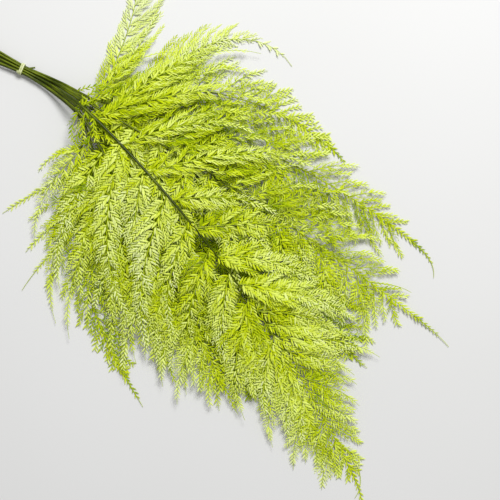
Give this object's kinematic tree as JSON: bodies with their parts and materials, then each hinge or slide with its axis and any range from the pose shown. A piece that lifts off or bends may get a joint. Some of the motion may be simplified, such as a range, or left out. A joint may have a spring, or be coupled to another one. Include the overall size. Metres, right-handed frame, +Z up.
{
  "type": "tied bunch of fern fronds",
  "caption": "Cut bunch of finely divided feathery fern fronds, tied round the stems with a pale band and lying flat, fanned out from the tie.",
  "frame": {"origin": "centre of the bunch's bounding box, on the surface that the bunch lies on", "axes": "+X along the bunch from the cut stems to the tips, +Y across it, +Z up from the surface"},
  "size_m": [0.5184, 0.292, 0.0307],
  "materials": {
    "fern": "matt chartreuse leaf with olive green stems",
    "band": "satin pale cream green"
  },
  "bodies": {
    "root": {"frond_01": "fern", "frond_02": "fern", "frond_03": "fern", "frond_04": "fern", "frond_05": "fern", "frond_06": "fern", "frond_07": "fern", "frond_08": "fern", "frond_09": "fern", "frond_10": "fern", "tie": "band"}
  },
  "joints": []
}
